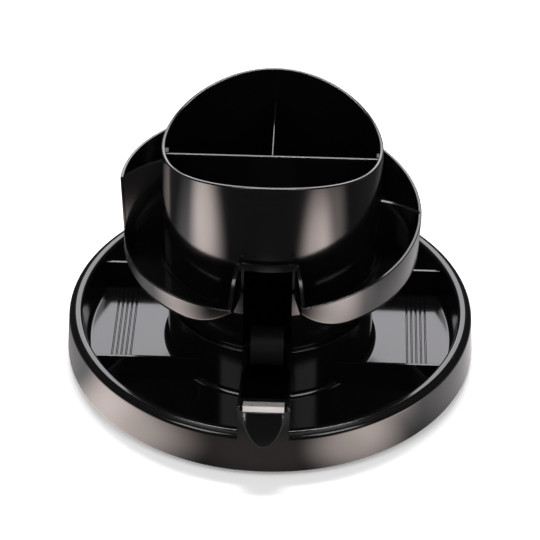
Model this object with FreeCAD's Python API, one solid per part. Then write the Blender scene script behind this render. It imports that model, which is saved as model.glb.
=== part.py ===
import FreeCAD, Part
import math
import os

from FreeCAD import Vector

# Rotating desk organizer: a round base tray on a hidden turntable foot, a middle tray with a
# climbing rim, a pen cup let into the top, and a tape dispenser at the front.
# Millimetres. The desk is z = 0, the spin axis is Z and the tape cutter points towards -Y.
# An azimuth is counted in degrees from the cutter's side, positive towards +X.

# Driving dimensions: base tray
base_radius = 125.0
base_height = 29.3
desk_gap = 4.0
skirt_lean = 1.5
rim_width = 7.9
bead_width = 4.3
bead_height = 0.9
shoulder_drop = 0.9
inner_wall_lean = 3.6
base_floor_top = 8.7
wall = 2.0
partition_offset = 47.0
partition_top = 25.0
partition_thick = 1.9
drum_radius = 62.8
drum_top = 42.3
drum_wall = 2.2
drum_foot = 3.5
groove_count = 5
groove_pitch = 2.85
groove_first = 84.7
groove_radius = 0.65

# Driving dimensions: tape dispenser
pocket_half = 13.4
pocket_wall = 1.6
pocket_back = -21.0
nose_top = 50.0
nose_depth = 12.0
cheek_low = 29.7
hub_y = -56.5
hub_z = 43.5
hub_radius = 12.5
hub_width = 19.4
stub_radius = 2.5
scoop_tip = 21.5
scoop_depth = 4.5
blade_width = 23.8
blade_height = 4.6
blade_depth = 8.5
blade_thick = 0.6
blade_teeth = 16

# Driving dimensions: middle tray
tray_radius = 88.7
tray_lean = 0.035
tray_bottom = 73.8
tray_floor = 2.2
tray_corner = 5.0
rim_start = 83.6
rim_climb = 39.5
notch_angle = 13.2
ramp_angle = 34.0
ramp_radius = 45.0
collar_height = 1.5
left_divider_top = 135.5
right_divider_top = 111.2
end_wall_top = 111.0
lintel_height = 5.3

# Driving dimensions: pen cup
cup_radius = 65.2
cup_low = 148.6
cup_front = 163.4
cup_back = 161.8
cup_shelf = 108.0
well_bottom = 44.5
divider_top = 141.1
divider_thick = 2.5
cross_thick = 1.2
guide_rib = 5.6

# Driving dimensions: turntable
foot_radius = 100.0
foot_thick = 2.0
pad_height = 1.5
pad_radius = 7.5
pad_count = 5
pad_circle = 88.5
ball_radius = 2.0
ball_circle = 75.0
ball_count = 12
race_width = 8.0
race_thick = 0.8
cage_width = 8.0
cage_thick = 1.6
pivot_radius = 6.5
sleeve_thick = 1.5
pivot_top = 19.0
screw_radius = 1.5
boss_radius = 3.6
boss_height = 16.0
foot_edge = 0.3

# Clearances
running_gap = 0.05
fit_gap = 0.1
loose_gap = 0.2
step_gap = 0.3

# Worked-out sizes
base_floor = base_floor_top - wall
tower_radius = drum_radius - drum_wall - step_gap
tower_inner = tower_radius - drum_wall
neck_radius = tower_inner - loose_gap
cup_inner = cup_radius - drum_wall
collar_inner = cup_radius + loose_gap
tray_floor_top = tray_bottom + tray_floor
pocket_outer = pocket_half + pocket_wall
slot_half = pocket_half + 0.8
bulkhead_back = -divider_thick / 2 - step_gap
blade_low = nose_top + 2.0 - blade_height
foot_top = pad_height + foot_thick
ball_z = (foot_top + base_floor) / 2
high = 220.0


def polar(radius, azimuth, z=0.0):
    """Point at a radius and azimuth; azimuth 0 is the cutter's side."""
    angle = math.radians(azimuth)
    return Vector(radius * math.sin(angle), -radius * math.cos(angle), z)


def block(x0, x1, y0, y1, z0, z1):
    return Part.makeBox(x1 - x0, y1 - y0, z1 - z0, Vector(x0, y0, z0))


def cylinder(radius, z0, z1, centre=Vector(0, 0, 0)):
    return Part.makeCylinder(radius, z1 - z0, Vector(centre.x, centre.y, z0))


def ring(outer, inner, z0, z1):
    return cylinder(outer, z0, z1).cut(cylinder(inner, z0 - 1.0, z1 + 1.0))


def bar(radius, x0, x1, y, z):
    """Round bar along X."""
    return Part.makeCylinder(radius, x1 - x0, Vector(x0, y, z), Vector(1, 0, 0))


def outline(corners, place):
    """Closed wire through corners (a, b, radius); place turns (a, b) into a point in space."""
    ends = []
    count = len(corners)
    for index in range(count):
        a, b, radius = corners[index]
        corner = Vector(a, b, 0)
        if radius == 0:
            ends.append((corner, corner, corner))
            continue
        before = Vector(corners[index - 1][0], corners[index - 1][1], 0)
        after = Vector(corners[(index + 1) % count][0], corners[(index + 1) % count][1], 0)
        back = (before - corner).normalize()
        ahead = (after - corner).normalize()
        half = back.getAngle(ahead) / 2
        reach = radius / math.tan(half)
        middle = (back + ahead).normalize()
        crown = corner + middle * (radius / math.sin(half) - radius)
        ends.append((corner + back * reach, crown, corner + ahead * reach))
    edges = []
    for index in range(count):
        start, crown, stop = [place(point.x, point.y) for point in ends[index]]
        if (stop - start).Length > 1e-6:
            edges.append(Part.Arc(start, crown, stop).toShape())
        following = ends[(index + 1) % count][0]
        edges.append(Part.makeLine(stop, place(following.x, following.y)))
    return Part.Wire(edges)


def turned(corners):
    """Solid of revolution about Z from an outline of (radius, z, corner radius)."""
    wire = outline(corners, lambda a, b: Vector(a, 0, b))
    return Part.Face(wire).revolve(Vector(0, 0, 0), Vector(0, 0, 1), 360)


def side_plate(corners, x0, x1):
    """Plate of an outline of (y, z, corner radius), from x0 to x1."""
    wire = outline(corners, lambda a, b: Vector(x0, a, b))
    return Part.Face(wire).extrude(Vector(x1 - x0, 0, 0))


def front_plate(corners, y0, y1):
    """Plate of an outline of (x, z, corner radius), from y0 to y1."""
    wire = outline(corners, lambda a, b: Vector(a, y0, b))
    return Part.Face(wire).extrude(Vector(0, y1 - y0, 0))


def joined(shapes):
    return shapes[0].multiFuse(shapes[1:]).removeSplitter()


def mirrored(shape):
    return shape.mirror(Vector(0, 0, 0), Vector(1, 0, 0))


def skirt_radius(z):
    """Outer radius of the base's leaning skirt, and of the cutter's nose above it."""
    return base_radius - skirt_lean * (z - desk_gap) / (base_height - desk_gap)


def wall_radius(z):
    """Outer radius of the middle tray's leaning wall."""
    return tray_radius + tray_lean * (z - tray_bottom - 5.0)


def rim_height(azimuth):
    """Height of the middle tray's climbing rim, from its low end at azimuth -90."""
    return rim_start + rim_climb * (azimuth + 90.0) / 360.0


def ramp_rise(azimuth):
    """How far the middle tray's floor has swept up towards the notch."""
    run = max(0.0, ramp_angle - abs(azimuth)) * math.pi / 180.0 * tray_radius
    return ramp_radius - math.sqrt(ramp_radius ** 2 - run ** 2)


def make_base_shell():
    """Skirt, beaded rim and floor, as one turned shape open underneath."""
    rim_outer = skirt_radius(base_height)
    rim_inner = rim_outer - rim_width
    floor_radius = rim_inner - inner_wall_lean
    return turned([
        (0, base_floor, 0),
        (floor_radius + wall, base_floor, 1.0),
        (rim_inner + wall, base_height - wall, 0.8),
        (rim_outer - wall, base_height - wall, 0.8),
        (base_radius - wall, desk_gap, 0),
        (base_radius, desk_gap, 0.4),
        (rim_outer, base_height - shoulder_drop, 3.0),
        (rim_inner + bead_width + 0.4, base_height + 0.2, 0.3),
        (rim_inner + bead_width, base_height + bead_height, 1.0),
        (rim_inner, base_height + bead_height, 2.4),
        (floor_radius, base_floor_top, 2.4),
        (0, base_floor_top, 0),
    ])


def floor_zone():
    """Space of the flat floor: inside the rim's inner corner, and up to the nose in front."""
    seam = skirt_radius(base_height) - rim_width - inner_wall_lean - 2.5
    nose_back = nose_depth - skirt_radius(nose_top)
    tongue = block(-pocket_outer, pocket_outer, nose_back, -seam / 2, 0, high)
    return joined([cylinder(seam, 0, high), tongue])


def make_partitions():
    """Four straight partitions between the drum and the base's inner wall."""
    half = partition_thick / 2
    fitted = [make_base_shell(), make_drum_ring()]
    plates = []
    for y in (-partition_offset, partition_offset):
        for side in (-1, 1):
            x = sorted((side * drum_radius / 2, side * (base_radius - rim_width)))
            strip = block(x[0], x[1], y - half, y + half, base_floor_top, partition_top)
            pieces = strip.cut(fitted).Solids
            plates.append(max(pieces, key=lambda piece: piece.Volume))
    return Part.makeCompound(plates)


def make_drum_ring():
    """Drum on a rounded foot, with a gap in front for the tape housing."""
    wide = pocket_outer
    foot = drum_radius + drum_foot + foot_edge
    drum = turned([
        (foot, base_floor_top, 0),
        (foot, base_floor_top + foot_edge, 0),
        (drum_radius, base_floor_top + foot_edge, drum_foot),
        (drum_radius, drum_top, 0.6),
        (drum_radius - drum_wall, drum_top, 0.6),
        (drum_radius - drum_wall, base_floor_top, 0),
    ])
    return drum.cut(block(-wide, wide, -base_radius, 0, 0, high))


def make_grooves():
    """Fine grooves across the floors of the two side compartments."""
    reach = partition_offset - 1.5
    cuts = []
    for side in (-1, 1):
        for index in range(groove_count):
            start = Vector(side * (groove_first + index * groove_pitch), -reach, base_floor_top)
            cuts.append(Part.makeCylinder(groove_radius, 2 * reach, start, Vector(0, 1, 0)))
    return Part.makeCompound(cuts)


def make_scoop():
    """Tongue-shaped hollow under the cutter: an oval pushed down and out through the wall."""
    top = blade_low - 1.2
    oval = Part.Ellipse(Vector(blade_width / 2, 0, 0), Vector(0, scoop_depth, 0), Vector(0, 0, 0))
    face = Part.Face(Part.Wire([oval.toShape()]))
    face.translate(Vector(0, -skirt_radius(top), top))
    push = scoop_depth + skirt_radius(scoop_tip) - skirt_radius(top)
    return face.extrude(Vector(0, -push, scoop_tip - top))


def nose_skin():
    """Cone that carries the skirt's lean on up to the cutter."""
    return Part.makeCone(skirt_radius(0), skirt_radius(high), high)


def make_nose():
    """Block between the cheeks that carries the cutter, with two pins for it."""
    back = nose_depth - skirt_radius(nose_top)
    nose = block(-pocket_outer, pocket_outer, -base_radius - 2, back, desk_gap, blade_low)
    nose = nose.common(nose_skin())
    return joined([nose.cut(make_scoop())] + [pin for pin in blade_pins(0)])


def blade_pins(extra):
    """Two short pins through the cutter's flange, or the holes for them."""
    y = -skirt_radius(nose_top) + 4.0
    top = blade_low + blade_thick + 0.5
    return [cylinder(1.0 + extra, blade_low - 0.5, top, Vector(x, y, 0)) for x in (-7.0, 7.0)]


def nose_core():
    """Hollow inside the nose, open underneath."""
    front = -skirt_radius(nose_top) + scoop_depth + 1.6
    back = nose_depth - skirt_radius(nose_top) - wall
    return block(-pocket_outer + 4.0, pocket_outer - 4.0, front, back, 0, blade_low - 3.0)


def make_cheeks():
    """Two thin walls from the drum to the nose, their tops sloping up to the cutter."""
    start = -drum_radius + 2.2
    front = -base_radius - 2.0
    low = base_floor_top
    cheek = side_plate([
        (start, low, 0),
        (front, low, 0),
        (front, nose_top, 0),
        (8.0 - skirt_radius(nose_top), nose_top, 4.0),
        (-drum_radius, cheek_low, 0),
        (start, cheek_low, 0),
    ], pocket_half, pocket_outer).common(nose_skin())
    return [cheek, mirrored(cheek)]


def make_pocket_walls():
    """Walls of the tape pocket inside the drum."""
    low = base_floor_top
    back = pocket_back + pocket_wall
    side = block(pocket_half, pocket_outer, -drum_radius + 1.5, back, low, drum_top)
    rear = block(-pocket_outer, pocket_outer, pocket_back, back, low, drum_top)
    return [side, mirrored(side), rear]


def make_seats():
    """Open-topped seats for the tape hub's stub axles."""
    inner = hub_width / 2 + 1.2
    outer = pocket_half + 0.1
    low = drum_top - 10.0
    crown = hub_z + 3.6
    seat = front_plate([
        (outer, low - 3.0, 0),
        (inner, low, 0),
        (inner, crown, 0.5),
        (outer, crown, 0),
    ], hub_y - 5.0, hub_y + 5.0)
    radius = stub_radius + running_gap
    seat = seat.cut(bar(radius, inner - 1, outer + 1, hub_y, hub_z))
    seat = seat.cut(block(inner - 1, outer + 1, hub_y - radius, hub_y + radius, hub_z, crown + 1))
    return [seat, mirrored(seat)]


def screw_places():
    """Centres of the screws that hold the tower down on the base."""
    return [polar(tower_inner - 3.2, azimuth) for azimuth in (62.0, 180.0, 298.0)]


def make_base_rim():
    """Skirt, beaded rim and inner wall, open in front for the nose."""
    body = make_base_shell().cut(floor_zone())
    return body.cut(block(-pocket_outer, pocket_outer, -base_radius - 2, -base_radius / 2, 0, high))


def make_pivot_boss():
    """Sleeve round the turntable's post, on the floor's middle."""
    bore = pivot_radius + sleeve_thick + running_gap
    return ring(bore + 3.45, bore, base_floor_top, pivot_top - 1.4)


def make_base_floor():
    body = make_base_shell().common(floor_zone())
    body = body.cut(block(-pocket_outer, pocket_outer, -base_radius, 0, base_floor_top, high))
    body = body.cut(race_ring(base_floor, fit_gap, 1))
    body = body.cut(cylinder(pivot_radius + sleeve_thick + running_gap, 0, pivot_top))
    for centre in screw_places():
        body = body.cut(cylinder(screw_radius + fit_gap, 0, base_floor_top + 1, centre))
    return body.cut(make_grooves())


def make_tape_housing():
    """Nose for the cutter, and the channel and seats for the tape behind it."""
    body = joined([make_nose()] + make_cheeks() + make_pocket_walls() + make_seats())
    return body.cut(nose_core())


def race_ring(face, gap, up):
    """Flat steel ring sunk in a face at z; up is +1 when it lies above that face."""
    far = face + up * race_thick
    half = race_width / 2 + gap
    return ring(ball_circle + half, ball_circle - half, min(face, far), max(face, far))


def ball_track():
    return Part.makeTorus(ball_circle, ball_radius + running_gap, Vector(0, 0, ball_z))


def make_lower_race():
    return race_ring(foot_top, 0, -1).cut(ball_track())


def make_upper_race():
    return race_ring(base_floor, 0, 1).cut(ball_track())


def pad_places():
    return [polar(pad_circle, 36.0 + index * 360.0 / pad_count) for index in range(pad_count)]


def make_foot_plate():
    """Fixed turntable plate with a stiff edge, a ring for the balls and a post in the middle."""
    plate = turned([
        (0, pad_height, 0),
        (foot_radius, pad_height, 0.6),
        (foot_radius, foot_top + 1.2, 0.5),
        (foot_radius - wall, foot_top + 1.2, 0.5),
        (foot_radius - wall, foot_top, 0),
        (0, foot_top, 0),
    ])
    post = cylinder(pivot_radius, pad_height, pivot_top - 1.2)
    plate = joined([plate, post])
    plate = plate.cut(race_ring(foot_top, fit_gap, -1))
    plate = plate.cut(cylinder(screw_radius + fit_gap, pad_height + 2.5, pivot_top))
    for centre in pad_places():
        plate = plate.cut(cylinder(pad_radius + fit_gap, 0, pad_height + 0.7, centre))
    return plate


def make_rubber_pads():
    """Round pads sunk in the foot's underside."""
    pads = []
    for centre in pad_places():
        pad = cylinder(pad_radius, 0, pad_height + 0.7, centre)
        lowest = [edge for edge in pad.Edges if edge.BoundBox.ZMax < 0.1]
        pads.append(pad.makeFillet(0.4, lowest))
    return Part.makeCompound(pads)


def ball_places():
    return [polar(ball_circle, index * 360.0 / ball_count, ball_z) for index in range(ball_count)]


def make_bearing_balls():
    return Part.makeCompound([Part.makeSphere(ball_radius, centre) for centre in ball_places()])


def make_ball_cage():
    """Flat ring that keeps the balls apart."""
    half = cage_width / 2
    cage = ring(ball_circle + half, ball_circle - half, ball_z - cage_thick / 2, ball_z + cage_thick / 2)
    for centre in ball_places():
        cage = cage.cut(cylinder(ball_radius + running_gap, 0, high, centre))
    return cage


def make_pivot_sleeve():
    """Plain bush on the post, in which the base turns."""
    outer = pivot_radius + sleeve_thick
    return ring(outer, pivot_radius + running_gap, foot_top, pivot_top - 1.2)


def make_pivot_washer():
    """Washer on the post that keeps the base from lifting off."""
    return ring(pivot_radius + sleeve_thick + 3.0, screw_radius + fit_gap, pivot_top - 1.2, pivot_top)


def make_screw(centre, tip, seat, head, head_height, up):
    """Cross-head screw along Z; up is +1 when its head is on top."""
    crown = seat + up * head_height
    shank = cylinder(screw_radius, min(tip, seat), max(tip, seat), centre)
    cap = cylinder(head, min(seat, crown), max(seat, crown), centre)
    long_cut = block(-1.7, 1.7, -0.4, 0.4, -0.9, 0.9)
    short_cut = block(-0.4, 0.4, -1.7, 1.7, -0.9, 0.9)
    recess = long_cut.fuse(short_cut)
    recess.translate(Vector(centre.x, centre.y, crown))
    return joined([shank, cap]).cut(recess)


def make_pivot_screw():
    return make_screw(Vector(0, 0, 0), pad_height + 4.0, pivot_top, 3.6, 2.0, 1)


def make_tower_screws():
    tip = base_floor_top + 11.0
    return Part.makeCompound([make_screw(c, tip, base_floor, 3.0, 1.8, -1) for c in screw_places()])


def tray_section(low, azimuth):
    """Outline of the middle tray's floor and wall at a floor height and azimuth."""
    floor = low + tray_floor
    crest = rim_start + rim_climb + 6.0
    inner = collar_inner + wall / 2
    corners = [
        (inner, low, 0),
        (wall_radius(low), low, tray_corner),
        (wall_radius(crest), crest, 0),
        (wall_radius(crest) - wall, crest, 0),
        (wall_radius(floor) - wall, floor, tray_corner - wall),
        (inner, floor, 0),
    ]
    return outline(corners, lambda a, b: polar(a, azimuth, b))


def air_section(low, azimuth):
    """Outline of the air above the swept-up floor, close round the cup."""
    floor = low + tray_floor - 0.3
    inner = collar_inner - 3.0
    outer = collar_inner + wall + 3.0
    corners = [(inner, floor, 0), (outer, floor, 0), (outer, high, 0), (inner, high, 0)]
    return outline(corners, lambda a, b: polar(a, azimuth, b))


def make_ramp(section):
    """Right-hand end of the tray lofted through sections that rise towards the notch."""
    steps = 5
    wires = []
    for index in range(steps + 1):
        azimuth = ramp_angle + (notch_angle - ramp_angle) * index / steps
        wires.append(section(tray_bottom + ramp_rise(azimuth), azimuth))
    return Part.makeLoft(wires, True, False)


def make_apron():
    """Right-hand wall that closes the gap between the cup and the swept-up floor."""
    start = Part.makeLine(
        polar(collar_inner, notch_angle, tray_floor_top - 1.0),
        polar(collar_inner + wall, notch_angle, tray_floor_top - 1.0),
    )
    rise = ramp_rise(notch_angle) + tray_floor
    face = start.extrude(Vector(0, 0, rise))
    sweep = ramp_angle - notch_angle - 1.0
    apron = face.revolve(Vector(0, 0, 0), Vector(0, 0, 1), sweep)
    return apron.cut(make_ramp(air_section))


def above_rim():
    """All the space above the climbing rim: two helical sheets, half a turn each, drawn upwards."""
    halves = []
    for index in range(2):
        inner = Part.makeHelix(rim_climb, rim_climb / 2, cup_radius - 10.0)
        outer = Part.makeHelix(rim_climb, rim_climb / 2, tray_radius + 12.0)
        sheet = Part.makeRuledSurface(inner.Edges[0], outer.Edges[0])
        sheet.rotate(Vector(0, 0, 0), Vector(0, 0, 1), 180.0 + 180.0 * index)
        sheet.translate(Vector(0, 0, rim_start + rim_climb / 2 * index))
        halves.append(sheet.extrude(Vector(0, 0, high)))
    return halves


def crest_plate(azimuth, heights, low, thick_side):
    """Upright radial plate from the cup to the tray's wall under a curved crest.

    The heights are spread evenly from the cup outwards, low is the tray's underside, and
    thick_side is 0 for a plate centred on its azimuth, or +1 or -1 for one to one side of it.
    """
    inner = collar_inner
    top_outer = wall_radius(heights[-1]) - wall / 2
    low_outer = wall_radius(low) - wall / 2
    floor = low + tray_floor / 2
    bend = tray_corner - wall / 2
    across = polar(1.0, azimuth + 90.0)
    shift = across * (wall * (thick_side - 1) / 2)

    def place(radius, z):
        return polar(radius, azimuth, z) + shift

    count = len(heights) - 1
    spots = [place(inner + (top_outer - inner) * i / count, heights[i]) for i in range(count + 1)]
    crest = Part.BSplineCurve()
    crest.interpolate(spots)
    slant = bend * (1 - math.sqrt(0.5))
    wall_end = place(low_outer, floor + bend)
    floor_end = place(low_outer - bend, floor)
    edges = [
        crest.toShape(),
        Part.makeLine(spots[-1], wall_end),
        Part.Arc(wall_end, place(low_outer - slant, floor + slant), floor_end).toShape(),
        Part.makeLine(floor_end, place(inner, floor)),
        Part.makeLine(place(inner, floor), spots[0]),
    ]
    return Part.Face(Part.Wire(edges)).extrude(across * wall)


def make_notch_walls():
    """End walls either side of the notch, and the band that ties them in front of the cup."""
    low = tray_bottom + ramp_rise(notch_angle)
    plates = []
    for side in (-1, 1):
        rim = rim_height(side * notch_angle)
        heights = [end_wall_top, end_wall_top + 1.0, end_wall_top - 2.0, end_wall_top - 7.5, rim]
        plates.append(crest_plate(side * notch_angle, heights, low, side))
    band = ring(collar_inner + wall, collar_inner, end_wall_top - lintel_height, end_wall_top)
    half = (collar_inner + wall) * math.sin(math.radians(notch_angle)) + wall / 2
    plates.append(band.common(block(-half, half, -high, 0, 0, high)))
    return plates


def make_dividers():
    """The tray's left and right dividers, whose tops fall in a curve from cup to rim."""
    left_rim = rim_height(270.0) - 0.5
    right_rim = rim_height(90.0)
    left_middle = (left_divider_top + left_rim) / 2 + 1.1
    right_middle = (right_divider_top + right_rim) / 2 + 1.1
    return [
        crest_plate(-90.0, [left_divider_top, left_middle, left_rim], tray_bottom, -1),
        crest_plate(90.0, [right_divider_top, right_middle, right_rim], tray_bottom, 0),
    ]


def make_tower_pocket():
    """Walls of the tape pocket above the drum."""
    low = drum_top + loose_gap
    top = cup_shelf - wall - loose_gap
    front = -math.sqrt(neck_radius ** 2 - slot_half ** 2) - 1.5
    outer = slot_half + pocket_wall
    back = pocket_back + pocket_wall
    side = block(slot_half, outer, front, back, low, top)
    rear = block(-outer, outer, pocket_back, back, low, top)
    return [side, mirrored(side), rear]


def make_tower():
    """Open-fronted sleeve that stands in the drum, with the ledge and collar that seat the cup."""
    sleeve = ring(tower_radius, tower_inner, base_floor_top, tray_floor_top)
    ledge = ring(collar_inner + wall, tower_inner, tray_bottom, tray_floor_top)
    collar = ring(collar_inner + wall, collar_inner, tray_bottom, tray_floor_top + collar_height)
    bosses = [cylinder(boss_radius, base_floor_top, base_floor_top + boss_height, c) for c in screw_places()]
    apron = make_apron()
    tower = joined([sleeve, ledge, collar, apron, mirrored(apron)] + bosses)
    wide = pocket_outer + loose_gap
    tower = tower.cut(block(-slot_half, slot_half, -base_radius, pocket_back, 0, high))
    return tower.cut(block(-wide, wide, -base_radius, pocket_back, 0, drum_top + loose_gap))


def make_mid_tray():
    sweep = 360.0 - 2 * ramp_angle
    bowl = Part.Face(tray_section(tray_bottom, ramp_angle))
    bowl = bowl.revolve(Vector(0, 0, 0), Vector(0, 0, 1), sweep)
    ramp = make_ramp(tray_section)
    tray = joined([bowl, ramp, mirrored(ramp)])
    for half in above_rim():
        tray = tray.cut(half)
    tray = joined([tray, make_tower()])
    tray = joined([tray] + make_notch_walls() + make_dividers() + make_tower_pocket())
    for centre in screw_places():
        tray = tray.cut(cylinder(screw_radius + running_gap, 0, base_floor_top + 12.0, centre))
    return tray


def above_cup():
    """All the space above the cup's rim, which dips at both sides in one long curve."""
    reach = cup_radius * 1.2
    dip = (cup_front + cup_back) / 2 - cup_low
    tilt = (cup_back - cup_front) / 2

    def height(y):
        share = y / cup_radius
        return cup_low + dip * share ** 2 + tilt * share

    ends = [(-reach, height(-reach)), (reach, height(reach))]
    middle = 2 * cup_low - (ends[0][1] + ends[1][1]) / 2
    curve = Part.BezierCurve()
    curve.setPoles([
        Vector(-reach, -reach, ends[0][1]),
        Vector(-reach, 0, middle),
        Vector(-reach, reach, ends[1][1]),
    ])
    sheet = curve.toShape().extrude(Vector(2 * reach, 0, 0))
    return sheet.extrude(Vector(0, 0, high))


def make_pen_cup():
    front = bulkhead_back - wall
    step = tray_floor_top + wall
    rear = block(-high, high, front, high, 0, high)
    fore = block(-high, high, -high, bulkhead_back, 0, high)
    bulkhead = block(-high, high, front, bulkhead_back, 0, high)
    wide = cup_radius - 1.0
    body = joined([
        ring(cup_radius, cup_inner, tray_floor_top, high),
        ring(wide, neck_radius - wall, tray_floor_top, step).common(rear),
        ring(neck_radius, neck_radius - wall, well_bottom, step).common(rear),
        cylinder(neck_radius, well_bottom, well_bottom + wall).common(rear),
        cylinder(wide, cup_shelf - wall, cup_shelf).common(fore),
        cylinder(wide, tray_floor_top, cup_shelf).common(bulkhead),
        cylinder(neck_radius, well_bottom, step).common(bulkhead),
    ])
    slot_top = end_wall_top - lintel_height
    slot = block(-slot_half, slot_half, -high, -cup_radius / 2, 0, slot_top)
    body = body.cut(slot)
    rib = block(cup_inner - 1.6, cup_inner + 0.5, divider_thick / 2 + loose_gap, guide_rib, step, divider_top)
    body = joined([body, rib, mirrored(rib)]).cut(above_cup())
    rim = [edge for edge in body.Edges if edge.BoundBox.ZMin > cup_low - 1.0]
    return body.makeFillet(0.7, rim)


def make_main_divider():
    """Plate that stands in the cup's well and reaches the wall above it."""
    half = divider_thick / 2
    step = tray_floor_top + wall + loose_gap
    narrow = neck_radius - wall - loose_gap
    wide = cup_inner - loose_gap
    plate = joined([
        block(-narrow, narrow, -half, half, well_bottom + wall, step + 5.0),
        block(-wide, wide, -half, half, step, divider_top),
    ])
    crest = [edge for edge in plate.Edges if edge.BoundBox.ZMin > divider_top - 0.1]
    plate = plate.makeFillet(0.5, [edge for edge in crest if edge.Length > 2 * divider_thick])
    groove = cross_thick / 2 + fit_gap
    return plate.cut(block(-groove, groove, half - 0.6, high, 0, high))


def make_cross_divider():
    """Thin plate from the main divider's groove to the back of the cup."""
    half = cross_thick / 2
    step = tray_floor_top + wall + loose_gap
    front = divider_thick / 2 - 0.5
    narrow = neck_radius - wall - loose_gap
    wide = cup_inner - loose_gap
    return joined([
        block(-half, half, front, narrow, well_bottom + wall, step + 5.0),
        block(-half, half, front, wide, step, divider_top),
    ])


def make_cutter_blade():
    """Bent steel strip with a toothed front edge and a flange that lies on the nose."""
    half = blade_width / 2
    front = -skirt_radius(nose_top) - 0.3
    lip_back = front + blade_thick
    top = blade_low + blade_height
    lip = block(-half, half, front, lip_back, blade_low, top)
    flange = block(-half, half, front, front + blade_depth, blade_low, blade_low + blade_thick)
    blade = joined([lip, flange])
    pitch = blade_width / blade_teeth
    for index in range(blade_teeth):
        x = -half + pitch * (index + 0.5)
        notch = front_plate([
            (x - pitch / 2, top + 0.1, 0),
            (x, top - 0.8, 0),
            (x + pitch / 2, top + 0.1, 0),
        ], front - 1, lip_back + 1)
        blade = blade.cut(notch)
    for hole in blade_pins(fit_gap):
        blade = blade.cut(hole)
    return blade


def make_hub_half(side):
    """One half of the tape hub; the left one (-1) has a spigot that enters the right one."""
    half = hub_width / 2
    web = 1.4
    barrel = hub_radius - 0.5
    hollow = barrel - 1.6
    shell = bar(barrel, 0, half, hub_y, hub_z).cut(bar(hollow, -1, half - web, hub_y, hub_z))
    flange = bar(hub_radius, half - web, half, hub_y, hub_z)
    stub = bar(stub_radius, half - web, pocket_half - step_gap, hub_y, hub_z)
    hub = joined([shell, flange, stub])
    if side < 0:
        hub = mirrored(hub)
        root = bar(hollow + 0.3, -4.0, 0, hub_y, hub_z)
        tip = bar(hollow - fit_gap, -4.0, 4.0, hub_y, hub_z)
        spigot = root.fuse(tip).cut(bar(hollow - 1.3, -5.0, 5.0, hub_y, hub_z))
        hub = joined([hub, spigot])
    return hub


nodes = {
    "base_floor": make_base_floor,
    "base_rim": make_base_rim,
    "pivot_boss": make_pivot_boss,
    "base_partitions": make_partitions,
    "drum_ring": make_drum_ring,
    "tape_housing": make_tape_housing,
    "mid_tray": make_mid_tray,
    "pen_cup": make_pen_cup,
    "main_divider": make_main_divider,
    "cross_divider": make_cross_divider,
    "cutter_blade": make_cutter_blade,
    "tape_hub_left": lambda: make_hub_half(-1),
    "tape_hub_right": lambda: make_hub_half(1),
    "foot_plate": make_foot_plate,
    "rubber_pads": make_rubber_pads,
    "lower_race": make_lower_race,
    "upper_race": make_upper_race,
    "ball_cage": make_ball_cage,
    "bearing_balls": make_bearing_balls,
    "pivot_sleeve": make_pivot_sleeve,
    "pivot_washer": make_pivot_washer,
    "pivot_screw": make_pivot_screw,
    "tower_screws": make_tower_screws,
}

os.makedirs("parts", exist_ok=True)
for name, make in nodes.items():
    shape = make()
    box = shape.BoundBox
    size = [round(value, 2) for value in (box.XMin, box.XMax, box.YMin, box.YMax, box.ZMin, box.ZMax)]
    print(name, "solids", len(shape.Solids), "valid", shape.isValid(), "box", size)
    shape.exportStep("parts/" + name + ".step")
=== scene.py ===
import math

import bmesh
import bpy
from mathutils import Matrix, Vector


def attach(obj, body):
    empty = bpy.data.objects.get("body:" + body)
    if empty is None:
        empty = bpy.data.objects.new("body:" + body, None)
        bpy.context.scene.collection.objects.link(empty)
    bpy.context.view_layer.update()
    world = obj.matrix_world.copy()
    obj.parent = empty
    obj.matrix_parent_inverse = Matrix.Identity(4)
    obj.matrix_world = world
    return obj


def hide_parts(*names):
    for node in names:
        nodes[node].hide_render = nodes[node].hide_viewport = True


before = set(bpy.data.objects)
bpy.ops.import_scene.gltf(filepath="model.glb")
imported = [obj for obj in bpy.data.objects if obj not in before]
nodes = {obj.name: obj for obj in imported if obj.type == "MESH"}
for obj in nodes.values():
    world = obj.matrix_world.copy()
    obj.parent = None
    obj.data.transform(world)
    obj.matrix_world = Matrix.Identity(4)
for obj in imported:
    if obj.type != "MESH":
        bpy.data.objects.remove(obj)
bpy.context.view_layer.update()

# Camera as fitted to the photograph: angles, metres, and pixels of a picture 540 wide.
elevation = math.radians(36.984)
azimuth = math.radians(1.556)
roll = math.radians(0.739)
distance = 1.538708
focal_px = 2528.385
picture_px = 540.0
sensor_mm = 36.0
target_side = -0.000584
target_up = 0.057125

millimetre = 0.001
crease = math.radians(36)

# Sizes of the mouldings in millimetres and degrees, as in the part's source.
base_radius = 125.0
skirt_top = 29.3
skirt_low = 4.0
rim_outer = 123.5
rim_inner = 115.6
rim_top = 30.2
rim_under = 27.3
floor_edge = 112.0
base_floor = 8.7
base_under = 6.7
race_inner = 70.9
race_outer = 79.1
race_seat = 7.5
middle_radius = 20.0
post_hole = 8.05
post_radius = 11.5
post_top = 17.6
groove_count = 5
groove_first = 84.7
groove_pitch = 2.85
groove_radius = 0.65
groove_half = 45.5
partition_offset = 47.0
partition_half = 0.95
partition_low = 8.2
partition_top = 25.0
drum_radius = 62.8
drum_inner = 60.6
drum_top = 42.3
housing_half = 15.0
slot_half = 14.2
pocket_half = 13.4
pocket_back = -21.0
pocket_rear = -19.4
pocket_wall = 1.6
pocket_top = 105.8
nose_back = -110.27
nose_top = 47.4
cheek_top = 50.0
cheek_low = 29.7
seat_top = 47.1
seat_radius = 2.55
hub_y = -56.5
hub_z = 43.5
scoop_top = 46.2
scoop_tip = 21.5
scoop_half = 11.9
scoop_depth = 4.5
tray_low = 73.8
tray_thick = 2.2
tray_radius = 88.7
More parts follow.
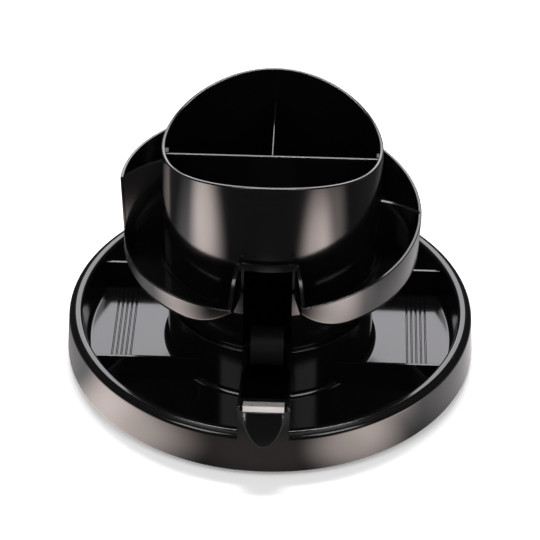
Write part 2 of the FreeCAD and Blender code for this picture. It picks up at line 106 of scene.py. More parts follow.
tray_lean = 0.035
rim_start = 83.6
rim_climb = 39.5
wall = 2.0
tower_radius = 60.3
tower_inner = 58.1
tower_joint = 42.5
tower_top = 76.0
collar_inner = 65.4
collar_outer = 67.4
collar_top = 77.5
notch = 13.2
ramp_start = 34.0
ramp_bend = 45.0
lintel_low = 105.7
lintel_top = 111.0
cup_radius = 65.2
cup_inner = 63.0
cup_seat = 78.0
shelf_top = 108.0
well_low = 44.5
well_floor = 46.5
divider_front = -3.55
divider_back = -1.55
divider_low = 78.2
divider_step = 83.2
divider_top = 141.1


def make_camera():
    """Camera that looks at the part as the photograph does."""
    back = Vector((
        math.sin(azimuth) * math.cos(elevation),
        -math.cos(azimuth) * math.cos(elevation),
        math.sin(elevation),
    ))
    right = Vector((math.cos(azimuth), math.sin(azimuth), 0))
    up = back.cross(right)
    turned_right = right * math.cos(roll) + up * math.sin(roll)
    turned_up = up * math.cos(roll) - right * math.sin(roll)
    target = right * target_side + Vector((0, 0, target_up))
    place = target + back * distance
    data = bpy.data.cameras.new("camera")
    data.sensor_width = sensor_mm
    data.sensor_fit = "HORIZONTAL"
    data.lens = focal_px / picture_px * sensor_mm
    data.clip_end = 50.0
    camera = bpy.data.objects.new("camera", data)
    camera.matrix_world = Matrix((
        (turned_right.x, turned_up.x, back.x, place.x),
        (turned_right.y, turned_up.y, back.y, place.y),
        (turned_right.z, turned_up.z, back.z, place.z),
        (0, 0, 0, 1),
    ))
    bpy.context.scene.collection.objects.link(camera)
    bpy.context.scene.camera = camera


def new_material(name):
    """Material with its shaders, links and main shader."""
    material = bpy.data.materials.new(name)
    material.use_nodes = True
    tree = material.node_tree
    return material, tree.nodes, tree.links, tree.nodes["Principled BSDF"]


def gloss_black(name, colour=0.003, roughness=0.12, wave=0.02):
    """Polished black moulding: very fine unevenness in the gloss and the surface."""
    material, shaders, links, base = new_material(name)
    base.inputs["Base Color"].default_value = (colour * 1.08, colour, colour * 0.98, 1)
    base.inputs["Specular IOR Level"].default_value = 0.5
    base.inputs["IOR"].default_value = 1.5
    place = shaders.new("ShaderNodeTexCoord")
    noise = shaders.new("ShaderNodeTexNoise")
    noise.inputs["Scale"].default_value = 45.0
    noise.inputs["Detail"].default_value = 3.0
    links.new(place.outputs["Object"], noise.inputs["Vector"])
    spread = shaders.new("ShaderNodeMapRange")
    spread.inputs["To Min"].default_value = roughness - 0.02
    spread.inputs["To Max"].default_value = roughness + 0.02
    links.new(noise.outputs["Fac"], spread.inputs["Value"])
    links.new(spread.outputs["Result"], base.inputs["Roughness"])
    bump = shaders.new("ShaderNodeBump")
    bump.inputs["Strength"].default_value = wave
    bump.inputs["Distance"].default_value = 0.0002
    links.new(noise.outputs["Fac"], bump.inputs["Height"])
    links.new(bump.outputs["Normal"], base.inputs["Normal"])
    return material


def plain(name, colour, roughness, metallic=0.0, grain=0.0, stretch=(1, 1, 1)):
    """Metal or matt plastic with a fine grain in its roughness and surface."""
    material, shaders, links, base = new_material(name)
    base.inputs["Base Color"].default_value = (*colour, 1)
    base.inputs["Metallic"].default_value = metallic
    place = shaders.new("ShaderNodeTexCoord")
    scale = shaders.new("ShaderNodeMapping")
    scale.inputs["Scale"].default_value = stretch
    noise = shaders.new("ShaderNodeTexNoise")
    noise.inputs["Scale"].default_value = 1500.0
    links.new(place.outputs["Object"], scale.inputs["Vector"])
    links.new(scale.outputs["Vector"], noise.inputs["Vector"])
    spread = shaders.new("ShaderNodeMapRange")
    spread.inputs["To Min"].default_value = max(0.02, roughness - 0.06)
    spread.inputs["To Max"].default_value = roughness + 0.06
    links.new(noise.outputs["Fac"], spread.inputs["Value"])
    links.new(spread.outputs["Result"], base.inputs["Roughness"])
    if grain:
        bump = shaders.new("ShaderNodeBump")
        bump.inputs["Strength"].default_value = grain
        bump.inputs["Distance"].default_value = 0.0001
        links.new(noise.outputs["Fac"], bump.inputs["Height"])
        links.new(bump.outputs["Normal"], base.inputs["Normal"])
    return material


def dress(names, material):
    """Material for CAD nodes."""
    for name in names:
        node = nodes[name]
        if not node.data.materials:
            node.data.materials.append(material)
        for slot in node.material_slots:
            slot.material = material


def new_object(name, data):
    """Object in the scene."""
    obj = bpy.data.objects.new(name, data)
    bpy.context.scene.collection.objects.link(obj)
    return obj


def area_light(name, place, size, size_y, power, colour=(1, 1, 1)):
    """Rectangular light that looks at the part and isn't seen."""
    data = bpy.data.lights.new(name, "AREA")
    data.energy = power
    data.color = colour
    data.shape = "RECTANGLE"
    data.size = size
    data.size_y = size_y
    lamp = new_object(name, data)
    lamp.location = place
    lamp.rotation_euler = (Vector((0, 0, 0.05)) - Vector(place)).to_track_quat("-Z", "Y").to_euler()
    lamp.visible_camera = False


def flat_sheet(name, half, z):
    """Flat square of the stage."""
    mesh = bpy.data.meshes.new(name)
    corners = [(-half, -half, z), (half, -half, z), (half, half, z), (-half, half, z)]
    mesh.from_pydata(corners, [], [(0, 1, 2, 3)])
    obj = new_object(name, mesh)
    return obj


def only_reflected(obj):
    """The stage piece shows in reflections alone."""
    obj.visible_camera = False
    obj.visible_diffuse = False
    obj.visible_transmission = False
    obj.visible_volume_scatter = False
    obj.visible_shadow = False


def dark_reflection_dome(radius, glow):
    """Dark half dome over the studio with a faint glow, for painted dark reflections."""
    bm = bmesh.new()
    turns = [math.pi * index / 24 for index in range(48)]
    rows = []
    for ring in range(13):
        tilt = math.radians(7.4 * ring)
        flat, z = radius * math.cos(tilt), radius * math.sin(tilt)
        rows.append([(flat * math.cos(turn), flat * math.sin(turn), z) for turn in turns])
    sheet(bm, rows, True)
    mesh = bpy.data.meshes.new("dark_reflection_dome")
    bm.to_mesh(mesh)
    bm.free()
    obj = new_object("dark_reflection_dome", mesh)
    # Black with a faint emission: painted dark reflection and a faint painted glow, not a lit
    # cloth.
    material, _, _, base = new_material("dome_painted_reflection")
    base.inputs["Base Color"].default_value = (0, 0, 0, 1)
    base.inputs["Specular IOR Level"].default_value = 0.0
    base.inputs["Emission Color"].default_value = (1, 1, 1, 1)
    base.inputs["Emission Strength"].default_value = glow
    mesh.materials.append(material)
    return obj


def seen_directly(tree):
    """1 for rays from the camera, a gloss or a glass, and 0 for the light that falls on things."""
    path = tree.nodes.new("ShaderNodeLightPath")
    either = tree.nodes.new("ShaderNodeMath")
    either.operation = "MAXIMUM"
    tree.links.new(path.outputs["Is Camera Ray"], either.inputs[0])
    tree.links.new(path.outputs["Is Glossy Ray"], either.inputs[1])
    any_ray = tree.nodes.new("ShaderNodeMath")
    any_ray.operation = "MAXIMUM"
    tree.links.new(either.outputs[0], any_ray.inputs[0])
    tree.links.new(path.outputs["Is Transmission Ray"], any_ray.inputs[1])
    return any_ray.outputs[0]


def white_to_camera(name, colour, glow):
    """Pale floor that looks white and keeps its shadows."""
    material, shaders, links, base = new_material(name)
    base.inputs["Base Color"].default_value = (colour, colour, colour, 1)
    base.inputs["Roughness"].default_value = 0.9
    base.inputs["Specular IOR Level"].default_value = 0.0
    base.inputs["Emission Color"].default_value = (1, 1, 1, 1)
    level = shaders.new("ShaderNodeMath")
    level.operation = "MULTIPLY"
    level.inputs[1].default_value = glow
    links.new(seen_directly(material.node_tree), level.inputs[0])
    links.new(level.outputs[0], base.inputs["Emission Strength"])
    return material


def card_glow():
    """Dark reflection card with soft patches of light.

    Each patch is its centre and half sizes in metres, its turn in degrees, power and colour.
    """
    material = bpy.data.materials.new("card_glow")
    material.use_nodes = True
    tree = material.node_tree
    shaders, links = tree.nodes, tree.links
    shaders.clear()
    place = shaders.new("ShaderNodeTexCoord")
    total = None
    warm = (1.0, 0.86, 0.81)
    pale = (1.0, 0.96, 0.98)
    patches = [
        ((-0.098, -0.100), (0.075, 0.042), -45.0, 5.5, warm),
        ((-0.212, -0.110), (0.120, 0.092), 0.0, 7.0, warm),
        ((-0.195, -0.060), (0.130, 0.120), 0.0, 0.9, pale),
        ((0.073, -0.131), (0.052, 0.040), 35.0, 5.5, warm),
        ((0.152, -0.160), (0.100, 0.080), -30.0, 7.0, warm),
        ((0.205, -0.120), (0.100, 0.080), 0.0, 1.8, warm),
        ((0.145, -0.020), (0.075, 0.220), 0.0, 0.9, pale),
        ((0.0, -0.150), (0.110, 0.040), 0.0, 0.4, warm),
        ((0.0, -0.192), (0.050, 0.022), 0.0, 1.1, pale),
        ((0.0, 0.640), (0.900, 0.340), 0.0, 1.2, pale),
        ((-0.640, 0.0), (0.240, 0.500), 0.0, 1.2, pale),
        ((0.640, 0.0), (0.240, 0.500), 0.0, 1.2, pale),
        ((0.0, 0.0), (9.0, 9.0), 0.0, 0.07, pale),
    ]
    for centre, half, turn, power, colour in patches:
        fit = shaders.new("ShaderNodeMapping")
        fit.vector_type = "TEXTURE"
        fit.inputs["Location"].default_value = (*centre, 0)
        fit.inputs["Rotation"].default_value = (0, 0, math.radians(turn))
        fit.inputs["Scale"].default_value = (*half, 1)
        links.new(place.outputs["Object"], fit.inputs["Vector"])
        fade = shaders.new("ShaderNodeTexGradient")
        fade.gradient_type = "SPHERICAL"
        links.new(fit.outputs["Vector"], fade.inputs["Vector"])
        strength = shaders.new("ShaderNodeMapRange")
        strength.interpolation_type = "SMOOTHSTEP"
        strength.inputs["From Max"].default_value = 0.8
        strength.inputs["To Max"].default_value = power
        links.new(fade.outputs["Fac"], strength.inputs["Value"])
        glow = shaders.new("ShaderNodeEmission")
        glow.inputs["Color"].default_value = (*colour, 1)
        links.new(strength.outputs["Result"], glow.inputs["Strength"])
        if total is None:
            total = glow
            continue
        both = shaders.new("ShaderNodeAddShader")
        links.new(total.outputs[0], both.inputs[0])
        links.new(glow.outputs[0], both.inputs[1])
        total = both
    output = shaders.new("ShaderNodeOutputMaterial")
    links.new(total.outputs[0], output.inputs["Surface"])
    return material


def rounded(corners, steps=6):
    """Points of a closed outline through corners (a, b, radius), with arcs at the corners."""
    points = []
    count = len(corners)
    for index in range(count):
        a, b, radius = corners[index]
        here = Vector((a, b))
        if radius == 0:
            points.append((a, b))
            continue
        before = Vector(corners[index - 1][:2])
        after = Vector(corners[(index + 1) % count][:2])
        back = (before - here).normalized()
        ahead = (after - here).normalized()
        half = back.angle(ahead) / 2
        reach = radius / math.tan(half)
        centre = here + (back + ahead).normalized() * (radius / math.sin(half))
        start = here + back * reach - centre
        stop = here + ahead * reach - centre
        first = math.atan2(start.y, start.x)
        turn = math.atan2(stop.y, stop.x) - first
        turn = (turn + math.pi) % (2 * math.pi) - math.pi
        for step in range(steps + 1):
            angle = first + turn * step / steps
            a = centre.x + radius * math.cos(angle)
            b = centre.y + radius * math.sin(angle)
            points.append((a, b))
    return points


def polar(radius, azimuth, z):
    """Point at a radius and azimuth; azimuth 0 is the cutter's side."""
    angle = math.radians(azimuth)
    return (radius * math.sin(angle), -radius * math.cos(angle), z)


def sheet(bm, rows, around=False, skip=None):
    """Quads through rows of points; around joins each row's last point to its first."""
    grid = [[bm.verts.new(point) for point in row] for row in rows]
    width = len(rows[0])
    for i in range(len(rows) - 1):
        for j in range(width if around else width - 1):
            if skip and skip(i, j):
                continue
            k = (j + 1) % width
            bm.faces.new((grid[i][j], grid[i][k], grid[i + 1][k], grid[i + 1][j]))
    return grid


def capped(bm, rows):
    """Closed body through rows of points."""
    grid = sheet(bm, rows, True)
    bm.faces.new(grid[0])
    bm.faces.new(list(reversed(grid[-1])))


def shares(count):
    """Even shares from 0 to 1 with a few close ones at both ends, where a face stops."""
    near = [0.0, 0.0003, 0.001, 0.002]
    middle = [0.004 + 0.992 * index / count for index in range(count + 1)]
    return near + middle + [1 - value for value in reversed(near)]


def turned(bm, section, gap, count):
    """Turned section with a flat-sided gap of half width gap at the front."""
    rows = []
    for share in shares(count):
        row = []
        for radius, z in section:
            start = math.degrees(math.asin(gap / radius))
            row.append(polar(radius, start + share * (360 - 2 * start), z))
        rows.append(row)
    capped(bm, rows)


def prism(bm, outline, low, high, place):
    """Flat plate of an outline between two levels; place puts (a, b, level) in space."""
    capped(bm, [[place(a, b, level) for a, b in outline] for level in (low, high)])


def box(bm, x0, x1, y0, y1, z0, z1):
    """Upright block."""
    outline = [(x0, y0), (x1, y0), (x1, y1), (x0, y1)]
    prism(bm, outline, z0, z1, lambda a, b, c: (a, b, c))


def smooth(obj):
    """Smooth curves with flat faces left flat."""
    for polygon in obj.data.polygons:
        polygon.use_smooth = True
    obj.data.set_sharp_from_angle(angle=crease)
    flat = obj.modifiers.new("flat", "WEIGHTED_NORMAL")
    flat.keep_sharp = True
    flat.weight = 90


def metre_mesh(name, bm):
    """Mesh in metres of a body in millimetres, with its faces turned outwards."""
    bmesh.ops.recalc_face_normals(bm, faces=bm.faces)
    bmesh.ops.scale(bm, vec=(millimetre, millimetre, millimetre), verts=bm.verts)
    mesh = bpy.data.meshes.new(name)
    bm.to_mesh(mesh)
    bm.free()
    return mesh


def piece(name, bm, replaced, material, bevel=0.0, body="organizer"):
    """Mesh object in metres that stands for CAD nodes."""
    mesh = metre_mesh(name, bm)
    obj = new_object(name, mesh)
    mesh.materials.append(material)
    if bevel:
        edge = obj.modifiers.new("edge", "BEVEL")
        edge.width = bevel * millimetre
        edge.segments = 3
        edge.limit_method = "ANGLE"
        edge.angle_limit = crease
    smooth(obj)
    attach(obj, body)
    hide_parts(*replaced)
    return obj


def cone_radius(z):
    """Radius of the skirt's outside at a height."""
    return base_radius - (base_radius - rim_outer) * (z - skirt_low) / (skirt_top - skirt_low)


def cut_grooves(pan):
    """Fine grooves across the floors of the two side compartments."""
    angles = [math.pi * index / 10 for index in range(20)]
    bm = bmesh.new()
    for side in (-1, 1):
        for index in range(groove_count):
            x = side * (groove_first + groove_pitch * index)
            ring = [
                (x + groove_radius * math.cos(a), base_floor + groove_radius * math.sin(a))
                for a in angles
            ]
            prism(bm, ring, -groove_half, groove_half, lambda a, b, c: (a, c, b))
    tool = new_object("grooves", metre_mesh("grooves", bm))
    pan.modifiers.clear()
    cut = pan.modifiers.new("cut", "BOOLEAN")
    cut.operation = "DIFFERENCE"
    cut.solver = "EXACT"
    cut.object = tool
    bpy.context.view_layer.update()
    ready = pan.evaluated_get(bpy.context.evaluated_depsgraph_get())
    result = bpy.data.meshes.new_from_object(ready)
    pan.modifiers.clear()
    pan.data = result
    smooth(pan)
    bpy.data.objects.remove(tool)


def base_pan(material):
    """Round base with a beaded rim and the drum, finely turned, with its grooves cut in."""
    section = rounded([
        (middle_radius, base_floor, 0),
        (drum_inner, base_floor, 0),
        (drum_inner, drum_top, 0.6),
        (drum_radius, drum_top, 0.6),
        (drum_radius, base_floor, 3.5),
        (floor_edge, base_floor, 2.4),
        (rim_inner, rim_top, 2.4),
        (rim_inner + 4.3, rim_top, 1.0),
        (rim_inner + 4.7, 29.5, 0.3),
        (rim_outer, 28.4, 3.0),
        (base_radius, skirt_low, 0.4),
        (base_radius - wall, skirt_low, 0.3),
        (rim_outer - wall, rim_under, 0.8),
        (rim_inner + wall, rim_under, 0.8),
        (floor_edge + wall, base_under, 1.0),
        (race_outer, base_under, 0),
        (race_outer, race_seat, 0),
        (race_inner, race_seat, 0),
        (race_inner, base_under, 0),
        (middle_radius, base_under, 0),
    ], 8)
    bm = bmesh.new()
    turned(bm, section, housing_half, 420)
    cut_grooves(piece("base_pan", bm, ["base_floor", "base_rim", "drum_ring"], material))


def base_middle(material):
    """Floor round the pivot with its boss, and the strip under the tape channel."""
    section = rounded([
        (post_hole, base_under, 0),
        (post_hole, post_top, 0.4),
        (post_radius, post_top, 0.4),
        (post_radius, base_floor, 0),
        (middle_radius, base_floor, 0),
        (middle_radius, base_under, 0),
    ])
    bm = bmesh.new()
    rows = [[polar(radius, 5.0 * index, z) for radius, z in section] for index in range(73)]
    sheet(bm, rows, True)
    for z in (base_under, base_floor):
        far = [(-housing_half + 3.0 * index, nose_back, z) for index in range(11)]
        near = [(x, -math.sqrt(middle_radius ** 2 - x * x), z) for x, _, _ in far]
        sheet(bm, [near, far])
    bmesh.ops.remove_doubles(bm, verts=bm.verts, dist=0.001)
    piece("base_pan_middle", bm, ["base_floor", "pivot_boss"], material)


def partitions(material):
    """Four straight partitions with softened tops, let into the drum and the rim's inner wall."""
    outline = [
        (41.2, partition_low),
        (102.6, partition_low),
        (105.4, partition_top),
        (41.2, partition_top),
    ]
    bm = bmesh.new()
    for y in (-partition_offset, partition_offset):
        for side in (-1, 1):
            prism(
                bm, outline, y - partition_half, y + partition_half,
                lambda a, b, c, side=side: (side * a, c, b),
            )
    piece("base_partition_plates", bm, ["base_partitions"], material, 0.35)


def nose_front(x, z, hollow):
    """Front of the nose: the skirt's cone, with a tongue-shaped hollow where it is asked for."""
    y = -math.sqrt(cone_radius(z) ** 2 - x * x)
    if hollow and abs(x) < scoop_half:
        push = scoop_depth + cone_radius(scoop_tip) - cone_radius(scoop_top)
        middle = -cone_radius(scoop_top) - push * (scoop_top - z) / (scoop_top - scoop_tip)
        y = max(y, middle + scoop_depth * math.sqrt(1 - (x / scoop_half) ** 2))
    return y


def tape_nose(material):
    """Nose under the cutter, its columns closer at the edges of the hollow."""
    even = {round(0.375 * index, 4) for index in range(-40, 41)}
    across = sorted(even | {side * x for side in (-1, 1) for x in (11.7, 11.8, 11.88)})
    start = skirt_low + 0.4
    levels = [(start + (scoop_top - skirt_low - 0.4) * index / 120, True) for index in range(121)]
    levels += [(scoop_top, False), (46.8, False), (nose_top, False)]
    rows = [[(x, nose_front(x, z, hollow), z) for x in across] for z, hollow in levels]
    rows.insert(0, [(x, nose_front(x, skirt_low, False) + 0.4, skirt_low) for x in across])
    rows.append([(x, nose_back, nose_top) for x in across])
    rows.append([(x, nose_back, base_floor) for x in across])
    bm = bmesh.new()
    sheet(bm, rows)
    bmesh.ops.remove_doubles(bm, verts=bm.verts, dist=0.0005)
    piece("tape_nose", bm, ["tape_housing"], material)


def tape_channel(material):
    """Cheeks beside the nose, the channel's walls and the seats of the hub's axle."""
    heights = (skirt_low, 12.0, 20.0, 28.0, 36.0, 44.0, nose_top, cheek_top)
    angles = [math.pi * index / 12 for index in range(13)]
    notch_arc = [
        (hub_y - seat_radius * math.cos(a), hub_z - seat_radius * math.sin(a)) for a in angles
    ]
    bm = bmesh.new()
    for side in (-1, 1):
        rows = []
        for x in (pocket_half, housing_half):
            edge = [(nose_front(x, z, False), z) for z in heights]
            edge = [(y + (0.3 if z < nose_top else 0.0), z) for y, z in edge]
            crest = rounded([
                (edge[-1][0], cheek_top, 0),
                (-114.27, cheek_top, 4.0),
                (-drum_radius, cheek_low, 0),
            ])
            outline = [(pocket_rear, base_floor), (nose_back, base_floor), (nose_back, skirt_low)]
            outline += edge + crest[1:]
            outline += [(-61.3, cheek_low), (-61.3, drum_top), (pocket_rear, drum_top)]
            rows.append([(side * x, y, z) for y, z in outline])
        capped(bm, rows)
        rows = []
        for x, low in ((10.9, 32.3), (13.6, 29.1)):
            outline = [(-61.5, low), (-61.5, seat_top), (-59.05, seat_top)] + notch_arc
            outline += [(-53.95, seat_top), (-51.5, seat_top), (-51.5, low)]
            rows.append([(side * x, y, z) for y, z in outline])
        capped(bm, rows)
    box(bm, -pocket_half, pocket_half, pocket_back, pocket_rear, base_floor, drum_top)
    piece("tape_channel", bm, ["tape_housing"], material, 0.25)


def wall_radius(z):
    """Outer radius of the middle tray's leaning wall at a height."""
    return tray_radius + tray_lean * (z - tray_low - 5.0)


def tray_floor_low(azimuth):
    """Underside of the middle tray, which sweeps up towards the notch."""
    run = max(0.0, ramp_start - abs(azimuth)) * math.pi / 180 * tray_radius
    return tray_low + ramp_bend - math.sqrt(ramp_bend ** 2 - run ** 2)


def rim_height(azimuth):
    """Height of the climbing rim, from azimuth -90 round to 270."""
    return rim_start + rim_climb * (azimuth + 90.0) / 360.0


def tray_row(azimuth):
    """Section of the middle tray's floor and wall at an azimuth."""
    low = tray_floor_low(azimuth)
    rim = rim_height(azimuth)
    floor = low + tray_thick
    outer_bend = min(5.0, rim - low - 0.8)
    inner_bend = min(3.0, rim - floor - 0.8)
    section = rounded([
        (collar_outer, low, 0),
        (wall_radius(low), low, outer_bend),
        (wall_radius(rim), rim, 0.5),
        (wall_radius(rim) - wall, rim, 0.5),
        (wall_radius(floor) - wall, floor, inner_bend),
        (collar_outer, floor, 0),
    ], 8)
    return [polar(radius, azimuth, z) for radius, z in section]


def crest_line(radii, heights, count=24):
    """Smooth curve through evenly spaced heights (natural cubic), as points."""
    n = len(heights)
    bends = [0.0] * n
    for _ in range(200):
        for i in range(1, n - 1):
            swing = 6 * (heights[i - 1] - 2 * heights[i] + heights[i + 1])
            bends[i] = (swing - bends[i - 1] - bends[i + 1]) / 4
    points = []
    for step in range(count + 1):
        t = step * (n - 1) / count
        i = min(int(t), n - 2)
        u = t - i
        w = 1 - u
        curve = (w ** 3 - w) * bends[i] + (u ** 3 - u) * bends[i + 1]
        z = w * heights[i] + u * heights[i + 1] + curve / 6
        points.append((radii[0] + (radii[1] - radii[0]) * step / count, z))
    return points


def crest_plate(bm, azimuth, heights, low, side):
    """Upright radial plate under a curved crest, as wide as a wall, to one side of its azimuth."""
    outer = wall_radius(heights[-1]) - wall / 2
    floor = low + tray_thick / 2
    low_outer = wall_radius(low) - wall / 2
    inner = cup_radius - 0.2
    crest = crest_line((inner, outer), heights)
    foot = rounded([(low_outer, floor, 4.0), (inner, floor, 0), (outer, 90.0, 0)])[:-1]
    outline = crest + foot
    sine, cosine = math.sin(math.radians(azimuth)), math.cos(math.radians(azimuth))
    shift = wall * (side - 1) / 2

    def place(radius, z, level):
        return (radius * sine + level * cosine, -radius * cosine + level * sine, z)

    prism(bm, outline, shift, shift + wall, place)


def mid_tray_bowl(material):
    """Middle tray with its climbing rim, in two sweeps from the notch, and the tower under it."""
    bm = bmesh.new()
    for start, stop in ((-90.0, -notch), (notch, 270.0)):
        count = int((stop - start) / 0.9)
        azimuths = [start + (stop - start) * index / count for index in range(count + 1)]
        capped(bm, [tray_row(azimuth) for azimuth in azimuths])
    for side in (-1, 1):
        rows = []
        for index in range(31):
            azimuth = side * (notch - 1.0 + (ramp_start - notch + 1.0) * index / 30)
            top = tray_floor_low(max(abs(azimuth), notch)) + tray_thick
            section = [
                (collar_inner, 75.0),
                (collar_outer, 75.0),
                (collar_outer, top),
                (collar_inner, top),
            ]
            rows.append([polar(radius, azimuth, z) for radius, z in section])
        capped(bm, rows)
    turned(bm, rounded([
        (tower_inner, tower_joint, 0),
        (tower_radius, tower_joint, 0.3),
        (tower_radius, tray_low, 0),
        (collar_outer, tray_low, 0),
        (collar_outer, collar_top, 0.3),
        (collar_inner, collar_top, 0.3),
        (collar_inner, tower_top, 0),
        (tower_inner, tower_top, 0),
    ], 4), slot_half, 300)
    turned(bm, [
        (tower_inner, base_floor + 0.1),
        (tower_radius, base_floor + 0.1),
        (tower_radius, 42.4),
        (tower_inner, 42.4),
    ], 15.2, 120)
    section = rounded([
        (collar_inner, lintel_low, 0.3),
        (collar_outer, lintel_low, 0.3),
        (collar_outer, lintel_top, 0.5),
        (collar_inner, lintel_top, 0.5),
    ], 4)
    azimuths = [-13.9 + 27.8 * index / 24 for index in range(25)]
    capped(bm, [[polar(radius, azimuth, z) for radius, z in section] for azimuth in azimuths])
    piece("mid_tray_bowl", bm, ["mid_tray"], material)


def mid_tray_plates(material):
    """End walls of the notch, the tape pocket's walls and the tray's two radial dividers."""
    bm = bmesh.new()
    low = tray_floor_low(notch)
    outline = [
        (-57.6, tower_joint),
        (-57.6, pocket_top),
        (pocket_rear, pocket_top),
        (pocket_rear, tower_joint),
    ]
    for side in (-1, 1):
        heights = [111.0, 112.0, 109.0, 103.5, rim_height(side * notch)]
        crest_plate(bm, side * notch, heights, low, side)
        prism(
            bm, outline, slot_half, slot_half + pocket_wall,
            lambda a, b, c, side=side: (side * c, a, b),
        )
    box(bm, -slot_half, slot_half, pocket_back, pocket_rear, tower_joint, pocket_top)
    left_rim, right_rim = rim_height(270.0) - 0.5, rim_height(90.0)
    crest_plate(bm, -90.0, [135.5, (135.5 + left_rim) / 2 + 1.1, left_rim], tray_low, -1)
    crest_plate(bm, 90.0, [111.2, (111.2 + right_rim) / 2 + 1.1, right_rim], tray_low, 0)
    piece("mid_tray_plates", bm, ["mid_tray"], material, 0.3)


def cup_rim(radius, azimuth):
    """Height of the cup's rim, which dips at both sides."""
    share = -radius * math.cos(math.radians(azimuth)) / cup_radius
    return 148.6 + 14.0 * share ** 2 - 0.8 * share


def pen_cup_wall(material):
    """Cup wall with its dipping rim and the slot in front, which only the upper rows cross."""
    slot_steps = 24
    slot_columns = [(True, index / 12.0 - 1.0) for index in range(1, slot_steps)]
    columns = [(False, 1.0)] + slot_columns + [(False, share) for share in shares(400)]
    middle = 64.1
    rows = []
    for in_slot, share in columns:

        def azimuth(radius):
            start = math.degrees(math.asin(slot_half / radius))
            return share * start if in_slot else start + share * (360 - 2 * start)

        top = cup_rim(middle, azimuth(middle))
        section = rounded([
            (cup_radius, tower_top, 0),
            (cup_radius, lintel_low, 0),
            (cup_radius, top, 0.7),
            (cup_inner, top, 0.7),
            (cup_inner, lintel_low, 0),
            (cup_inner, tower_top, 0),
        ])
        rows.append([polar(radius, azimuth(radius), z) for radius, z in section])
    width = len(rows[0])
    bm = bmesh.new()
    grid = sheet(bm, rows, True, lambda i, j: i < slot_steps and j in (0, width - 2, width - 1))
    for i in range(slot_steps):
        near, far = grid[i], grid[i + 1]
        bm.faces.new((near[1], near[width - 2], far[width - 2], far[1]))
    for row in (grid[slot_steps], grid[-1]):
        bm.faces.new((row[0], row[1], row[width - 2], row[width - 1]))
    bmesh.ops.remove_doubles(bm, verts=bm.verts, dist=0.0005)
    piece("pen_cup_wall", bm, ["pen_cup"], material)


def pen_cup_inside(material):
    """Shelf over the tape pocket, the wells behind it and the walls between them."""
    bm = bmesh.new()
    arc = [polar(63.3, -88.6 + 177.2 * index / 90, 0)[:2] for index in range(91)]
    prism(bm, arc, shelf_top - wall, shelf_top, lambda a, b, c: (a, b, c))
    box(bm, -63.2, 63.2, divider_front, divider_back, tower_top, shelf_top - wall)
    section = rounded([
        (1.0, well_low, 0),
        (57.9, well_low, 1.0),
        (57.9, tower_top, 0),
        (63.4, tower_top, 0),
        (63.4, cup_seat, 0),
        (55.9, cup_seat, 0.6),
        (55.9, well_floor, 1.0),
        (1.0, well_floor, 0),
    ], 4)
    azimuths = [88.2 + 183.6 * index / 120 for index in range(121)]
    capped(bm, [[polar(radius, azimuth, z) for radius, z in section] for azimuth in azimuths])
    box(bm, -57.5, 57.5, divider_front, divider_back, well_low, tower_top)
    for side in (-1, 1):
        low, high = sorted((side * 61.4, side * 63.5))
        box(bm, low, high, 1.45, 5.6, cup_seat, divider_top)
    piece("pen_cup_inside", bm, ["pen_cup"], material, 0.25)


def divider(name, node, material, parts, half, radius, steps, place):
    """Upright plate with a rounded top, in parts of (start, stop, low, top)."""
    bm = bmesh.new()
    for start, stop, low, top in parts:
        corners = [(-half, low, 0), (half, low, 0), (half, top, radius), (-half, top, radius)]
        outline = rounded(corners, steps)
        prism(bm, outline, start, stop, place)
    piece(name, bm, [node], material)


def dividers(material):
    """Plate across the cup, and the thinner one from it to the back."""
    divider(
        "main_divider_plate", "main_divider", material,
        [(-55.7, 55.7, well_floor, divider_step), (-62.8, 62.8, divider_low, divider_top)],
        1.25, 1.1, 8, lambda a, b, c: (c, a, b),
    )
    divider(
        "cross_divider_plate", "cross_divider", material,
        [(0.75, 57.9, well_floor, divider_step), (0.75, 62.8, divider_low, divider_top)],
        0.6, 0.5, 5, lambda a, b, c: (a, c, b),
    )


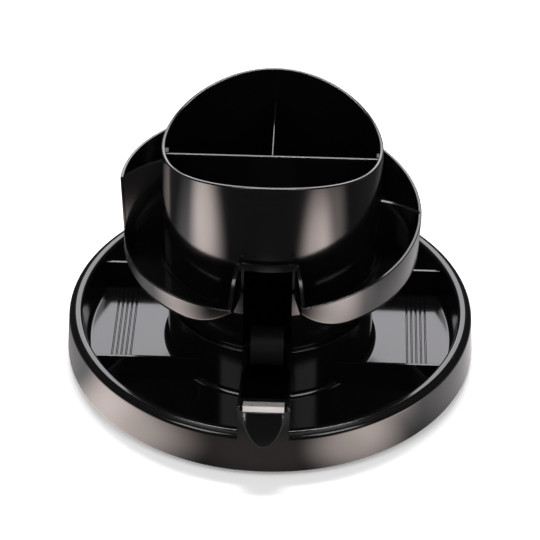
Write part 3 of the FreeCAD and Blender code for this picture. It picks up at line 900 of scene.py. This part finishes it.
make_camera()
black = gloss_black("polished_black")
dress(["base_floor", "base_rim", "pivot_boss", "base_partitions", "drum_ring"], black)
dress(["tape_housing", "mid_tray", "pen_cup"], black)
dress(["main_divider", "cross_divider"], black)
dividers(black)
base_pan(black)
base_middle(black)
partitions(black)
tape_nose(black)
tape_channel(black)
mid_tray_bowl(black)
mid_tray_plates(black)
pen_cup_wall(black)
pen_cup_inside(black)
dress(["tape_hub_left", "tape_hub_right"], gloss_black("hub_black", 0.008, 0.2))
dress(["cutter_blade"], plain("blade_steel", (0.92, 0.90, 0.86), 0.24, 1.0, 0.1, (1, 12, 12)))
dress(["foot_plate"], plain("foot_black", (0.02, 0.02, 0.02), 0.5, 0.0, 0.3))
dress(["rubber_pads"], plain("pad_rubber", (0.03, 0.03, 0.03), 0.8, 0.0, 0.4))
dress(["lower_race", "upper_race"], plain("race_steel", (0.62, 0.62, 0.6), 0.35, 1.0, 0.1))
dress(["bearing_balls"], plain("ball_steel", (0.8, 0.8, 0.8), 0.1, 1.0))
dress(["ball_cage"], plain("cage_plastic", (0.75, 0.73, 0.68), 0.5, 0.0, 0.2))
dress(["pivot_sleeve"], plain("sleeve_plastic", (0.85, 0.85, 0.82), 0.4, 0.0, 0.2))
screw_steel = plain("screw_steel", (0.6, 0.6, 0.58), 0.3, 1.0, 0.1)
dress(["pivot_washer", "pivot_screw", "tower_screws"], screw_steel)

floor = flat_sheet("floor", 6.0, 0.0)
floor.data.materials.append(white_to_camera("floor_white", 0.85, 0.25))
card = flat_sheet("reflection_card", 6.0, 0.0002)
card.data.materials.append(card_glow())
only_reflected(card)
# The dome shows in reflections alone: painted dark reflection with a faint painted glow.
only_reflected(dark_reflection_dome(4.0, 0.05))

world = bpy.data.worlds.new("world")
bpy.context.scene.world = world
world.use_nodes = True
sky = world.node_tree.nodes["Background"]
sky.inputs["Color"].default_value = (1, 1, 1, 1)
level = world.node_tree.nodes.new("ShaderNodeMapRange")
level.inputs["To Min"].default_value = 0.3
level.inputs["To Max"].default_value = 1.0
world.node_tree.links.new(seen_directly(world.node_tree), level.inputs["Value"])
world.node_tree.links.new(level.outputs["Result"], sky.inputs["Strength"])

area_light("back_panel", (0, 1.2, 0.9), 1.0, 0.8, 12.6, (0.97, 0.95, 1.0))
area_light("top_panel", (0, 0.5, 1.6), 0.8, 0.25, 24.0)
for side in (-1, 1):
    area_light("front_panel", (0.8 * side, -0.9, 1.3), 0.6, 0.8, 7.5)

bpy.context.scene.view_settings.view_transform = "Standard"
